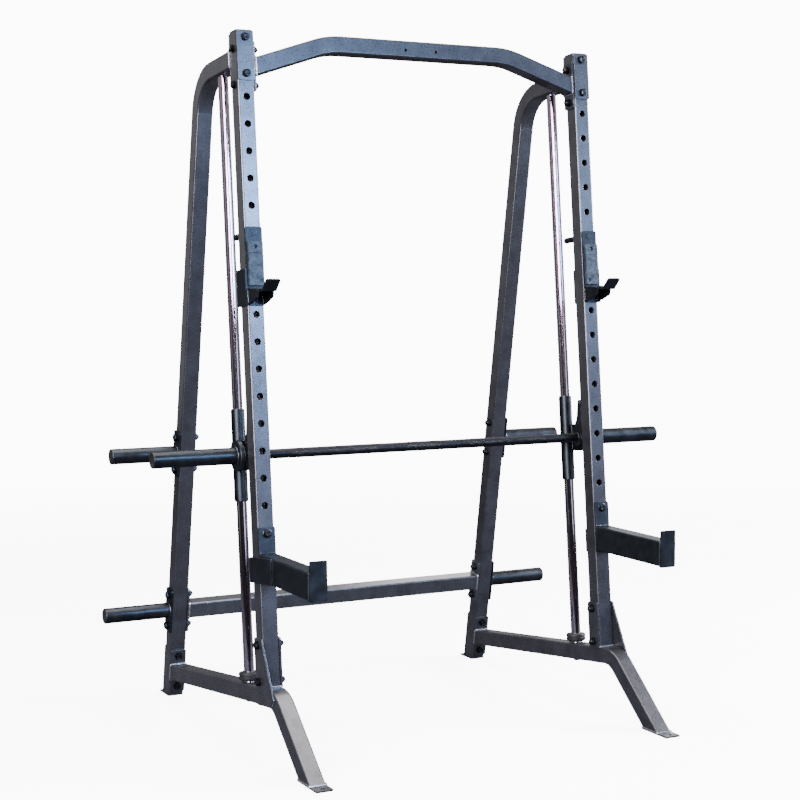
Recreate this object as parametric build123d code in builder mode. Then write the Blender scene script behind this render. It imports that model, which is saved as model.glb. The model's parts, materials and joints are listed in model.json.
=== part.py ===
from build123d import *
import os
from math import cos, radians, sin, sqrt

os.makedirs("parts", exist_ok=True)

# Smith machine. Millimetres and degrees. X is across the machine, -Y is its front, Z is up.
# The origin is on the floor, in the middle of the machine's bounding box.

# ---------------------------------------------------------------- driving dimensions: frame
side_spacing = 1118.0  # between the centres of the two side frames
reach = 608.0  # from the origin to the tips of the front and rear feet
tube = 50.0  # square frame tube
wall = 2.5
corner = 5.0
inner_corner = 3.0
post_y = -240.3  # foot of an upright's centre line
post_z = 199.0
post_lean = 5.6  # uprights, guide rods and sliding bar lean back by this angle
post_length = 1837.0
leg_y = 553.1  # a rear leg's centre line at the floor
leg_lean = 9.6  # rear legs lean forward
rail_slope = 7.0  # side rails rise towards the front
foot_y = -532.0  # a front foot's centre line at the floor
foot_angle = 40.5
foot_bend = 85.0
arm_bend = 130.0  # the rear leg's bend into the top arm
arm_s = 1764.0  # height of the top arm along the upright
plate = 6.0
foot_plate_thickness = 5.0
foot_plate_length = 124.0
foot_plate_corner = 4.0
anchor_hole = 12.0
anchor_y = 592.0
plug_depth = 12.0
overlap = 1.0  # how far a piece of one body is sunk into the next

# ---------------------------------------------------------------- driving dimensions: hole row
hole = 20.0
hole_pitch = 76.2
hole_count = 17
first_hole_s = 1649.1
j_hook_hole = 5
spotter_hole = 16

# ---------------------------------------------------------------- driving dimensions: joints
joint_length = 140.0  # every bolted joint plate, with two bolts 4 in apart
bolt_spacing = 101.6
bolt_hole = 13.0
top_side_s = 1736.0  # pull-up bar plates, along the upright
foot_joint_s = 67.5  # foot joint, along the upright
bracket_h = 90.4  # side rail bracket, along the rear leg
lower_peg_h = 288.0
upper_peg_h = 803.0
pull_up_rise = 77.0
pull_up_bend_x = 298.0
pull_up_bend = 250.0
pull_up_run_on = 30.0  # the bar's ends run into their plates before they are cut flush
drain_hole = 9.0
drain_hole_x = 50.0
drain_drop = 4.0  # the holes sit this far under the middle of the bar's front
gusset = 5.0
gusset_low = -48.0  # a gusset's lower edge, along the upright
gusset_front = (-93.0, -22.0)  # its front corner: depth, along the upright
gusset_heel = -72.0
backing = 5.0

# ---------------------------------------------------------------- driving dimensions: hardware
bolt_d = 12.0
bolt_flats = 19.0
bolt_head = 7.5
nut_height = 10.8
washer_d = 24.0
washer = 2.5
bolt_past_nut = 3.0
thread_gap = 0.05
rod_bolt_d = 10.0
rod_bolt_flats = 17.0
rod_bolt_head = 6.5
rod_thread = 25.0
rod_bolt_in = 20.0  # how far a rod bolt is screwed into the rod
rod_bolt_sink = 0.4

# ---------------------------------------------------------------- driving dimensions: carriage
rod_d = 30.0
rod_offset = 147.0  # behind the upright's centre line
bar_offset = 81.0
bar_s = 647.0
housing_d = 40.0
housing_bore = 34.0
housing_length = 262.0
bushing_length = 36.0
running_gap = 0.05
carrier_inner = 8.0  # the bar carrier, outboard of the side frame's centre plane
carrier_outer = 22.0
carrier_height = 84.0
carrier_front = 45.0
carrier_corner = 12.0
bushing_inset = 1.0
bearing_d = 44.0
bumper_d = 60.0
bumper_top = 26.0
bumper_neck_d = 46.0
bumper_neck = 3.0
bumper_round = 3.0

# ---------------------------------------------------------------- driving dimensions: bar, pegs
bar_d = 28.0
bar_half = 847.0
sleeve_d = 48.0
sleeve_wall = 4.0
sleeve_start = 598.0
sleeve_disc = 8.0
cap = 3.5
cap_inset = 0.5
cap_round = 2.0
collar_d = 88.0
collar_width = 14.0
collar_chamfer = 1.5
hook_thickness = 12.0
hook_hub = 27.0
nose_inner = 100.0  # the nose is a ring segment about the bar, so that it turns into a hole
nose_outer = 108.5
nose_reach = 46.0
# The hook's blade, as points forward of and above the bar: front edge, root, back edge, top.
blade_front = ((30.0, 94.0), (30.0, 40.0))
blade_root = ((24.0, 8.0), (-24.0, 8.0))
blade_back = ((-20.0, 20.0), (4.0, 60.0), (13.0, 108.0))
blade_top = ((17.0, 118.0), (22.5, 117.0))
nose_back = 25.5
nose_throat = 34.0
peg_d = 48.0
peg_wall = 3.0
peg_tip = 800.0
peg_plug = 12.0

# ---------------------------------------------------------------- driving dimensions: fittings
fit_gap = 0.5  # between a fitting and the upright it wraps
fitting_plate = 6.0
pin_d = 18.0
pin_end = 98.0
pin_show = 1.0  # the J-hook's welded pin shows as a low disc on its front
hook_top = 16.0  # above the pin
hook_wrap_low = 1064.0  # the J-hook's wrap round the upright, along the upright
hook_wrap_high = 1167.0
wrap_short = 2.0  # the wrap's back stops short of its open side
cup_width = 42.0
cup_plate = 6.0
cup_root = 1105.0  # the cup's underside where it leaves the hook, along the upright
cup_trough = (-122.0, 1102.0)  # depth, along the upright
cup_trough_under = (-124.5, 1095.5)
lip_inner = (-154.0, 1127.5)
lip_outer = (-158.5, 1124.0)
lip_round = 5.0
cheek = 5.0
cheek_root = 1066.0
cheek_edge = ((-57.0, 1071.0), (-94.0, 1082.0), (-99.0, 1095.0), (-99.0, 1104.2))
liner = 4.0  # the cup's plastic liner
liner_front = (-120.0, 1102.3)
liner_inset = 1.0
pad_low = 1119.0
pad_high = 1242.0
pad_width = 44.0
pad_thickness = 10.0
pad_corner = 3.0
pad_groove_s = 1209.0  # a shadow line across the pad, under its upper screw
pad_groove = 2.5
pad_groove_depth = 1.5
pad_screw_high = 14.0  # from the pad's ends
pad_screw_low = 13.0
pad_screw_side = 12.0
pad_screw_d = 10.0
pad_screw_head = 3.0
pad_screw_seat = 4.0
pad_screw_room = 0.5
pad_socket = 2.9
spotter_low = 292.0
spotter_high = 362.0
spotter_arm_low = 498.5
spotter_arm_height = 75.0
spotter_tip = 572.2
spotter_wall = 3.0
spotter_end_low = 496.0
spotter_end_high = 604.0
spotter_cheek = 120.0
spotter_end_corner = 3.0
spotter_plate_top = 17.0  # above the pin
spotter_bolt_flats = 24.0
spotter_bolt_head = 10.0
spotter_bolt_past = 4.0

half = side_spacing / 2
edge = tube / 2
sides = (("left", -1), ("right", 1))

# Local planes. Side planes hold (depth d behind a centre line, distance s or h along it).
post_side = Plane((0, post_y, post_z), (0, cos(radians(post_lean)), -sin(radians(post_lean))), (1, 0, 0))
leg_side = Plane((0, leg_y, 0), (0, cos(radians(leg_lean)), sin(radians(leg_lean))), (1, 0, 0))
rail_side = Plane((0, post_y, post_z), (0, cos(radians(rail_slope)), -sin(radians(rail_slope))), (1, 0, 0))
rail_top = Plane(rail_side.origin, (1, 0, 0), rail_side.y_dir)
floor = Plane.XY


def post_at(x, d, s):
    """A point beside an upright: x across, d behind its centre line, s along it."""
    return post_side.from_local_coords((d, s, x))


def leg_at(x, d, h):
    """A point beside a rear leg: x across, d behind its centre line, h along it."""
    return leg_side.from_local_coords((d, h, x))


def looking(origin, direction, x_dir=(1, 0, 0)):
    """A plane at a point, facing along a direction."""
    return Plane(origin, x_dir, direction)


def post_front(side, d=0.0):
    """The plane of an upright seen from the front: (x, s), facing forward, at depth d."""
    return looking(post_at(side * half, d, 0), -post_side.x_dir)


def crossing(point_a, along_a, point_b, along_b):
    """Where two lines in the YZ plane meet."""
    gap_y, gap_z = point_b.Y - point_a.Y, point_b.Z - point_a.Z
    spread = along_a.Y * along_b.Z - along_a.Z * along_b.Y
    reach_a = (gap_y * along_b.Z - gap_z * along_b.Y) / spread
    return point_a + along_a * reach_a


def pair(centre):
    """The two bolt positions of a joint plate, along its length."""
    return centre - bolt_spacing / 2, centre + bolt_spacing / 2


def square_tube(height=tube, width=tube, thickness=wall):
    """The section of a hollow frame tube, in the sketch that is open."""
    RectangleRounded(width, height, corner)
    RectangleRounded(width - 2 * thickness, height - 2 * thickness, inner_corner, mode=Mode.SUBTRACT)


def joint_plate(plane, thickness, width=tube):
    """A joint plate with two bolt holes, lying on a plane, its length along the plane's Y."""
    with BuildSketch(plane) as outline:
        RectangleRounded(width, joint_length, corner)
        with Locations((0, -bolt_spacing / 2), (0, bolt_spacing / 2)):
            Circle(bolt_hole / 2, mode=Mode.SUBTRACT)
    return extrude(outline.sketch, amount=thickness)


def bore(points, direction, diameter, depth=200.0, x_dir=(1, 0, 0)):
    """Drill through the open part at each point, both ways along a direction."""
    for point in points:
        with BuildSketch(looking(point, direction, x_dir)) as circle:
            Circle(diameter / 2)
        extrude(circle.sketch, amount=depth, both=True, mode=Mode.SUBTRACT)


def save(builder, name):
    """Label a finished piece and write its file."""
    builder.part.label = name
    export_step(builder.part, f"parts/{name}.step")


across = Vector(1, 0, 0)
rearward = post_side.x_dir
up_post = post_side.y_dir
leg_rearward = leg_side.x_dir
up_leg = leg_side.y_dir
rail_forward = -rail_side.x_dir
foot_down = Vector(0, -cos(radians(foot_angle)), -sin(radians(foot_angle)))

arm_corner = crossing(post_at(0, 0, arm_s), rearward, leg_at(0, 0, 0), up_leg)
rail_centre = rail_top.origin - rail_top.z_dir * edge
foot_corner = crossing(rail_centre, rail_forward, Vector(0, foot_y, 0), foot_down)
rail_end = crossing(rail_centre, rail_forward, leg_at(0, -edge - plate, 0), up_leg)
rail_depth = edge + plate  # a bracket plate stands this far before the leg's centre line

for name, side in sides:
    x = side * half
    inner = Plane.YZ.offset(x - side * edge)
    outward = across * side

    # ------------------------------------------------------------ upright with its row of holes
    with BuildPart() as upright:
        with BuildSketch(looking(post_at(x, 0, -tube), up_post)):
            square_tube()
        extrude(amount=post_length + tube)
        split(bisect_by=rail_top, keep=Keep.TOP)
        row = [post_at(x, 0, first_hole_s - k * hole_pitch) for k in range(hole_count)]
        bore(row, rearward, hole)
        bore([post_at(x, 0, s) for s in pair(arm_s)], rearward, bolt_hole)
        crosswise = [post_at(x, 0, s) for s in pair(top_side_s) + pair(foot_joint_s)]
        bore(crosswise, across, bolt_hole, x_dir=(0, 1, 0))
    save(upright, f"{name}_upright")

    with BuildPart() as plug:
        with BuildSketch(looking(post_at(x, 0, post_length - plug_depth), up_post)):
            RectangleRounded(tube - 2 * wall, tube - 2 * wall, inner_corner)
        extrude(amount=plug_depth)
    save(plug, f"{name}_upright_plug")

    # ------------------------------------------------------------ rear leg, bent into the top arm
    with BuildPart() as rear_leg:
        start = post_at(x, edge + plate, arm_s)
        with BuildLine(Plane.YZ.offset(x)) as route:
            below_floor = leg_at(0, 0, -tube)
            FilletPolyline(
                (start.Y, start.Z), (arm_corner.Y, arm_corner.Z), (below_floor.Y, below_floor.Z),
                radius=arm_bend,
            )
        with BuildSketch(looking(start, rearward)):
            square_tube()
        sweep()
        split(bisect_by=floor, keep=Keep.TOP)
        bolts_through = [leg_at(x, 0, h) for h in pair(bracket_h)]
        bore(bolts_through, leg_rearward, bolt_hole)
        crosswise = [leg_at(x, 0, h) for h in pair(lower_peg_h) + pair(upper_peg_h)]
        bore(crosswise, across, bolt_hole, x_dir=(0, 1, 0))
        bore([post_at(x, rod_offset, arm_s)], up_post, rod_bolt_d + 1, depth=tube)
        joint_plate(looking(post_at(x, edge, arm_s), rearward), plate)
    save(rear_leg, f"{name}_rear_leg")

    # ------------------------------------------------------------ side rail, bent into the front foot
    with BuildPart() as base_rail:
        tail = rail_end - rail_forward * tube
        toe = Vector(0, foot_y, 0) + foot_down * tube
        with BuildLine(Plane.YZ.offset(x)) as route:
            FilletPolyline(
                (tail.Y, tail.Z), (foot_corner.Y, foot_corner.Z), (toe.Y, toe.Z), radius=foot_bend
            )
        with BuildSketch(looking(tail + across * x, rail_forward)):
            square_tube()
        sweep()
        split(bisect_by=floor.offset(foot_plate_thickness), keep=Keep.TOP)
        split(bisect_by=looking(leg_at(x, -rail_depth, 0), -leg_rearward), keep=Keep.TOP)
        bore([post_at(x, rod_offset, 0)], up_post, rod_bolt_d + 1, depth=tube * 1.5)
    save(base_rail, f"{name}_base_rail")

    with BuildPart() as front_foot:
        with BuildSketch(Plane.XY):
            with Locations((x, -reach + foot_plate_length / 2)):
                RectangleRounded(tube, foot_plate_length, foot_plate_corner)
            with Locations((x, -anchor_y)):
                Circle(anchor_hole / 2, mode=Mode.SUBTRACT)
        extrude(amount=foot_plate_thickness)
    save(front_foot, f"{name}_front_foot")

    with BuildPart() as rail_bracket:
        joint_plate(looking(leg_at(x, -edge, bracket_h), -leg_rearward), plate)
    save(rail_bracket, f"{name}_rail_bracket")

    # An angle bolted behind the leg, with a tab on the floor.
    with BuildPart() as rear_foot:
        with BuildSketch(looking(leg_at(x, edge, 0), leg_rearward, (-1, 0, 0))):
            with Locations((0, bracket_h)):
                RectangleRounded(tube, joint_length, corner)
            with Locations((0, (bracket_h - edge) / 2)):
                Rectangle(tube, bracket_h + edge)
            with Locations(*[(0, h) for h in pair(bracket_h)]):
                Circle(bolt_hole / 2, mode=Mode.SUBTRACT)
        extrude(amount=backing)
        split(bisect_by=floor, keep=Keep.TOP)
        tab_start = leg_at(0, edge, 0).Y + overlap
        with BuildSketch(Plane.XY):
            with Locations((x, (tab_start + reach) / 2)):
                Rectangle(tube, reach - tab_start)
            with Locations((x, anchor_y)):
                Circle(anchor_hole / 2, mode=Mode.SUBTRACT)
        extrude(amount=backing)
        split(bisect_by=looking(leg_at(x, edge, 0), leg_rearward), keep=Keep.TOP)
    save(rear_foot, f"{name}_rear_foot")

    # ------------------------------------------------------------ foot joint of the upright
    with BuildPart() as foot_gusset:
        with BuildSketch(post_side.offset(x + side * edge)):
            with BuildLine():
                Polyline(
                    (edge, foot_joint_s + joint_length / 2), (-edge, foot_joint_s + joint_length / 2),
                    gusset_front, (gusset_heel, gusset_low), (edge, gusset_low), close=True,
                )
            make_face()
            with Locations(*[(0, s) for s in pair(foot_joint_s)]):
                Circle(bolt_hole / 2, mode=Mode.SUBTRACT)
        extrude(amount=side * gusset)
    save(foot_gusset, f"{name}_foot_gusset")

    with BuildPart() as foot_plate:
        joint_plate(looking(post_at(x - side * edge, 0, foot_joint_s), -outward, rearward * side), plate)
    save(foot_plate, f"{name}_foot_joint_plate")

    with BuildPart() as clamp_plate:
        joint_plate(looking(post_at(x, -edge, arm_s), -rearward), plate)
    save(clamp_plate, f"{name}_clamp_plate")

    # ------------------------------------------------------------ weight storage pegs
    for level, height in (("lower", lower_peg_h), ("upper", upper_peg_h)):
        root = leg_at(x + side * edge, 0, height)
        with BuildPart() as peg:
            joint_plate(looking(root, outward, leg_rearward * -side), plate)
            with BuildSketch(looking(root + outward * plate, outward, leg_rearward)):
                Circle(peg_d / 2)
                Circle(peg_d / 2 - peg_wall, mode=Mode.SUBTRACT)
            extrude(amount=peg_tip - half - edge - plate - cap)
        save(peg, f"{name}_{level}_weight_peg")

    # ------------------------------------------------------------ guide rod and its bumper
    with BuildPart() as guide_rod:
        with BuildSketch(looking(post_at(x, rod_offset, -tube), up_post)):
            Circle(rod_d / 2)
        extrude(amount=tube + arm_s - edge)
        split(bisect_by=rail_top, keep=Keep.TOP)
        ends = [post_at(x, rod_offset, 0), post_at(x, rod_offset, arm_s - edge)]
        bore(ends, up_post, rod_bolt_d + 2 * thread_gap, depth=rod_thread + overlap)
    save(guide_rod, f"{name}_guide_rod")

    with BuildPart() as bumper:
        with BuildSketch(looking(post_at(x, rod_offset, -tube), up_post)):
            Circle(bumper_neck_d / 2)
        extrude(amount=tube + bumper_neck)
        with BuildSketch(looking(post_at(x, rod_offset, bumper_neck), up_post)):
            Circle(bumper_d / 2)
        extrude(amount=bumper_top - bumper_neck)
        fillet(bumper.edges().filter_by(GeomType.CIRCLE).sort_by(SortBy.RADIUS)[-2:], bumper_round)
        split(bisect_by=rail_top, keep=Keep.TOP)
        bore([post_at(x, rod_offset, 0)], up_post, rod_d + 2 * running_gap)
    save(bumper, f"{name}_lower_bumper")

    # ------------------------------------------------------------ carriage: slide housing
    with BuildPart() as housing:
        with BuildSketch(looking(post_at(x, rod_offset, bar_s - housing_length / 2), up_post)):
            Circle(housing_d / 2)
        extrude(amount=housing_length)
        with BuildSketch(post_side.offset(x + side * carrier_inner)):
            with Locations(((carrier_front + rod_offset) / 2, bar_s)):
                RectangleRounded(rod_offset - carrier_front, carrier_height, carrier_corner)
        extrude(amount=side * (carrier_outer - carrier_inner))
        bore([post_at(x, rod_offset, bar_s)], up_post, housing_bore)
        bore([post_at(x, bar_offset, bar_s)], across, bearing_d, x_dir=(0, 1, 0))
    save(housing, f"{name}_slide_housing")

    # ------------------------------------------------------------ bar: sleeve, collar, lock hook
    with BuildPart() as sleeve:
        axis_point = post_at(side * sleeve_start, bar_offset, bar_s)
        sleeve_length = bar_half - cap - sleeve_start
        with BuildSketch(looking(axis_point, outward, (0, 1, 0))):
            Circle(sleeve_d / 2)
            Circle(sleeve_d / 2 - sleeve_wall, mode=Mode.SUBTRACT)
        extrude(amount=sleeve_length)
        for start_x in (0, sleeve_length - sleeve_disc):
            with BuildSketch(looking(axis_point + outward * start_x, outward, (0, 1, 0))):
                Circle(sleeve_d / 2 - sleeve_wall)
                Circle(bar_d / 2, mode=Mode.SUBTRACT)
            extrude(amount=sleeve_disc)
    save(sleeve, f"{name}_weight_sleeve")

    with BuildPart() as collar:
        collar_start = post_at(side * (sleeve_start - collar_width), bar_offset, bar_s)
        with BuildSketch(looking(collar_start, outward, (0, 1, 0))):
            Circle(collar_d / 2)
            Circle(bar_d / 2, mode=Mode.SUBTRACT)
        extrude(amount=collar_width)
        chamfer(collar.edges().filter_by(GeomType.CIRCLE).sort_by(SortBy.RADIUS)[-2:], collar_chamfer)
    save(collar, f"{name}_sleeve_collar")

    with BuildPart() as lock_hook:
        hook_face = Plane(
            post_at(x - hook_thickness / 2, bar_offset, bar_s), -post_side.x_dir, (-1, 0, 0)
        )
        with BuildSketch(hook_face):
            Circle(hook_hub)
            with BuildLine():
                tip_low = (nose_reach, sqrt(nose_inner**2 - nose_reach**2))
                tip_high = (nose_reach, sqrt(nose_outer**2 - nose_reach**2))
                back_high = (nose_back, sqrt(nose_outer**2 - nose_back**2))
                throat = (nose_throat, sqrt(nose_inner**2 - nose_throat**2))
                Polyline(*blade_front, *blade_root, *blade_back, *blade_top, back_high)
                RadiusArc(back_high, tip_high, nose_outer)
                Line(tip_high, tip_low)
                RadiusArc(tip_low, throat, -nose_inner)
                Line(throat, blade_front[0])
            make_face()
            Circle(bar_d / 2, mode=Mode.SUBTRACT)
        extrude(amount=-hook_thickness)
    save(lock_hook, f"{name}_lock_hook")

    # ------------------------------------------------------------ J-hook
    pin_s = first_hole_s - j_hook_hole * hole_pitch
    face_d = -edge - fit_gap  # where a fitting's front plate starts
    skin = face_d - fitting_plate
    wrap_inner = side * (edge + fit_gap)
    with BuildPart() as j_hook:
        with BuildSketch(post_front(side, face_d)):
            with Locations((0, (hook_wrap_low + pin_s + hook_top) / 2)):
                RectangleRounded(tube, pin_s + hook_top - hook_wrap_low, corner)
            with Locations((side * edge / 2, (hook_wrap_low + hook_wrap_high) / 2)):
                Rectangle(edge + 2 * (fit_gap + fitting_plate), hook_wrap_high - hook_wrap_low)
        extrude(amount=fitting_plate)
        with BuildSketch(post_side.offset(x + wrap_inner)):
            with Locations((0, (hook_wrap_low + hook_wrap_high) / 2)):
                Rectangle(-2 * skin, hook_wrap_high - hook_wrap_low)
        extrude(amount=side * fitting_plate)
        with BuildSketch(post_front(side, -skin)):
            wrap_width = 2 * edge + fit_gap + fitting_plate - wrap_short
            with Locations((side * (edge + fit_gap + fitting_plate - wrap_width / 2),
                            (hook_wrap_low + hook_wrap_high) / 2)):
                Rectangle(wrap_width, hook_wrap_high - hook_wrap_low)
        extrude(amount=fitting_plate)
        with BuildSketch(looking(post_at(x, skin - pin_show, pin_s), rearward)):
            Circle(pin_d / 2)
        extrude(amount=pin_end - skin + pin_show)
        # The cup: floor and lip of bent plate, on two cheeks.
        with BuildSketch(post_side.offset(x - cup_width / 2)):
            with BuildLine():
                Polyline(
                    (skin, cup_root + cup_plate), cup_trough, lip_inner, lip_outer, cup_trough_under,
                    (skin, cup_root), close=True,
                )
            make_face()
        extrude(amount=cup_width)
        lip_end = post_at(x, (lip_inner[0] + lip_outer[0]) / 2, (lip_inner[1] + lip_outer[1]) / 2)
        fillet(j_hook.edges().filter_by(Axis.X, reverse=True).sort_by_distance(lip_end)[:2], lip_round)
        for cheek_x in (-edge, edge - cheek):
            with BuildSketch(post_side.offset(x + cheek_x)):
                with BuildLine():
                    Polyline((skin, cheek_root), *cheek_edge, (skin, cup_root + cup_plate), close=True)
                make_face()
            extrude(amount=cheek)
    save(j_hook, f"{name}_j_hook")

    pad_front = skin - pad_thickness
    pad_screws = [(0, pad_high - pad_screw_high), (-side * pad_screw_side, pad_low + pad_screw_low)]
    with BuildPart() as pad:
        with BuildSketch(post_front(side, skin)):
            with Locations((0, (pad_low + pad_high) / 2)):
                RectangleRounded(pad_width, pad_high - pad_low, pad_corner)
        extrude(amount=pad_thickness)
        with BuildSketch(post_front(side, pad_front)):
            with Locations((0, pad_groove_s)):
                Rectangle(pad_width, pad_groove)
        extrude(amount=-pad_groove_depth, mode=Mode.SUBTRACT)
        with BuildSketch(post_side.offset(x - cup_width / 2 + liner_inset)):
            with BuildLine():
                root_s = cup_root + cup_plate
                Polyline(
                    (skin - liner_inset, root_s), liner_front, (liner_front[0], liner_front[1] + liner),
                    (skin - liner_inset, root_s + liner), close=True,
                )
            make_face()
        extrude(amount=cup_width - 2 * liner_inset)
        with BuildSketch(post_front(side, pad_front)):
            with Locations(*pad_screws):
                Circle(pad_screw_d / 2 + pad_screw_room)
        extrude(amount=-pad_screw_seat, mode=Mode.SUBTRACT)
    save(pad, f"{name}_j_hook_pad")

    with BuildPart() as screws:
        with BuildSketch(post_front(side, pad_front + pad_screw_seat)):
            with Locations(*pad_screws):
                Circle(pad_screw_d / 2)
        extrude(amount=pad_screw_head)
        with BuildSketch(post_front(side, pad_front + pad_screw_seat - pad_screw_head)):
            with Locations(*pad_screws):
                RegularPolygon(pad_socket, 6)
        extrude(amount=-pad_screw_head + overlap, mode=Mode.SUBTRACT)
    save(screws, f"{name}_j_hook_screws")

    # ------------------------------------------------------------ spotter arm
    pin_s = first_hole_s - spotter_hole * hole_pitch
    plate_top = pin_s + spotter_plate_top
    with BuildPart() as spotter_arm:
        with BuildSketch(post_front(side, face_d)):
            with Locations((0, (spotter_low + plate_top) / 2)):
                RectangleRounded(tube, plate_top - spotter_low, corner)
            with Locations((side * edge / 2, (spotter_low + spotter_high) / 2)):
                Rectangle(edge + 2 * (fit_gap + fitting_plate), spotter_high - spotter_low)
        extrude(amount=fitting_plate)
        with BuildSketch(post_side.offset(x + wrap_inner)):
            with Locations(((-skin - spotter_cheek) / 2, (spotter_low + spotter_high) / 2)):
                Rectangle(-skin + spotter_cheek, spotter_high - spotter_low)
        extrude(amount=side * fitting_plate)
        with BuildSketch(post_front(side, -skin)):
            with Locations((side * (edge + fit_gap + fitting_plate - wrap_width / 2),
                            (spotter_low + spotter_high) / 2)):
                Rectangle(wrap_width, spotter_high - spotter_low)
        extrude(amount=fitting_plate)
        arm_middle = spotter_arm_low + spotter_arm_height / 2
        with BuildSketch(looking((x, -spotter_tip, arm_middle), (0, 1, 0)), mode=Mode.PRIVATE) as section:
            square_tube(spotter_arm_height, tube + 2 * fit_gap, spotter_wall)
        beam = extrude(section.sketch, amount=spotter_tip + post_y, mode=Mode.PRIVATE)
        add(beam.split(looking(post_at(x, skin, 0), rearward), keep=Keep.BOTTOM))
        with BuildSketch(looking((x, -spotter_tip, (spotter_end_low + spotter_end_high) / 2), (0, 1, 0))):
            RectangleRounded(tube, spotter_end_high - spotter_end_low, spotter_end_corner)
        extrude(amount=fitting_plate)
        bore([post_at(x, skin, pin_s)], rearward, pin_d + 2 * thread_gap, depth=2 * fitting_plate)
    save(spotter_arm, f"{name}_spotter_arm")

    with BuildPart() as spotter_bolt:
        seat = looking(post_at(x, skin, pin_s), -rearward)
        with BuildSketch(seat):
            RegularPolygon(spotter_bolt_flats / 2, 6, major_radius=False)
        extrude(amount=spotter_bolt_head)
        with BuildSketch(seat):
            Circle(pin_d / 2)
        extrude(amount=-(edge + spotter_bolt_past - skin))
    save(spotter_bolt, f"{name}_spotter_bolt")

# ---------------------------------------------------------------- pull-up bar
bar_plane = looking(post_at(0, 0, 0), -rearward)
plate_face = half - edge - plate
with BuildPart() as pull_up_bar:
    slope_run = plate_face - pull_up_bend_x
    past = 1 + pull_up_run_on / slope_run
    end_x = pull_up_bend_x + slope_run * past
    end_s = top_side_s + pull_up_rise * (1 - past)
    level_s = top_side_s + pull_up_rise
    with BuildLine(bar_plane) as route:
        FilletPolyline(
            (-end_x, end_s), (-pull_up_bend_x, level_s), (pull_up_bend_x, level_s), (end_x, end_s),
            radius=pull_up_bend,
        )
    with BuildSketch(looking(route.wires()[0] @ 0, route.wires()[0] % 0, rearward)):
        square_tube()
    sweep()
    split(bisect_by=Plane.YZ.offset(plate_face), keep=Keep.BOTTOM)
    split(bisect_by=Plane.YZ.offset(-plate_face), keep=Keep.TOP)
    drains = [post_at(x, -edge, level_s - drain_drop) for x in (-drain_hole_x, drain_hole_x)]
    bore(drains, rearward, drain_hole, depth=2 * wall)
    for name, side in sides:
        joint_plate(
            looking(post_at(side * plate_face, 0, top_side_s), across * side, rearward * -side), plate
        )
save(pull_up_bar, "pull_up_bar")

# ---------------------------------------------------------------- rear crossmember
with BuildPart() as crossmember:
    with BuildSketch(leg_side.offset(-plate_face)):
        with Locations((0, lower_peg_h)):
            square_tube()
    extrude(amount=2 * plate_face)
    for name, side in sides:
        end = leg_at(side * plate_face, 0, lower_peg_h)
        joint_plate(looking(end, across * side, leg_rearward * -side), plate)
save(crossmember, "rear_crossmember")

# ---------------------------------------------------------------- bar shaft and small turned parts
with BuildPart() as bar_shaft:
    with BuildSketch(looking(post_at(-bar_half + cap, bar_offset, bar_s), across, (0, 1, 0))):
        Circle(bar_d / 2)
    extrude(amount=2 * (bar_half - cap))
save(bar_shaft, "bar_shaft")

with BuildPart() as sleeve_caps:
    for name, side in sides:
        end = post_at(side * (bar_half - cap), bar_offset, bar_s)
        with BuildSketch(looking(end, across * side, (0, 1, 0))):
            Circle(sleeve_d / 2 - cap_inset)
        extrude(amount=cap)
    fillet(sleeve_caps.edges().filter_by(GeomType.CIRCLE).group_by(Axis.X)[0], cap_round)
    fillet(sleeve_caps.edges().filter_by(GeomType.CIRCLE).group_by(Axis.X)[-1], cap_round)
save(sleeve_caps, "sleeve_caps")

with BuildPart() as peg_caps:
    for name, side in sides:
        for height in (lower_peg_h, upper_peg_h):
            end = leg_at(side * (peg_tip - cap), 0, height)
            with BuildSketch(looking(end, across * side, (0, 1, 0))):
                Circle(peg_d / 2)
            extrude(amount=cap)
            with BuildSketch(looking(end, across * side, (0, 1, 0))):
                Circle(peg_d / 2 - peg_wall)
            extrude(amount=-peg_plug)
save(peg_caps, "weight_peg_caps")

with BuildPart() as bushings:
    for name, side in sides:
        housing_end = housing_length / 2 - bushing_inset
        for start_s in (bar_s - housing_end, bar_s + housing_end - bushing_length):
            with BuildSketch(looking(post_at(side * half, rod_offset, start_s), up_post)):
                Circle(housing_bore / 2)
                Circle(rod_d / 2 + running_gap, mode=Mode.SUBTRACT)
            extrude(amount=bushing_length)
save(bushings, "slide_bushings")

with BuildPart() as bearings:
    for name, side in sides:
        start = post_at(side * (half + carrier_inner), bar_offset, bar_s)
        with BuildSketch(looking(start, across * side, (0, 1, 0))):
            Circle(bearing_d / 2)
            Circle(bar_d / 2 + running_gap, mode=Mode.SUBTRACT)
        extrude(amount=carrier_outer - carrier_inner)
save(bearings, "bar_bearings")

# ---------------------------------------------------------------- fasteners
# Each clamp is (point on the head side, direction out of that face, thickness clamped, x direction).
clamps = []
for name, side in sides:
    x = side * half
    outer = x + side * edge
    outward = across * side
    both_plates = tube + 2 * plate
    for s in pair(arm_s):
        clamps.append((post_at(x, -edge - plate, s), -rearward, both_plates, across))
    for s in pair(top_side_s):
        clamps.append((post_at(outer, 0, s), outward, tube + plate, rearward))
    for s in pair(foot_joint_s):
        clamps.append((post_at(outer + side * gusset, 0, s), outward, tube + gusset + plate, rearward))
    for h in pair(bracket_h):
        clamps.append((leg_at(x, -rail_depth, h), -leg_rearward, tube + plate + backing, across))
    for h in pair(lower_peg_h):
        clamps.append((leg_at(outer + side * plate, 0, h), outward, both_plates, leg_rearward))
    for h in pair(upper_peg_h):
        clamps.append((leg_at(outer + side * plate, 0, h), outward, tube + plate, leg_rearward))

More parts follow.
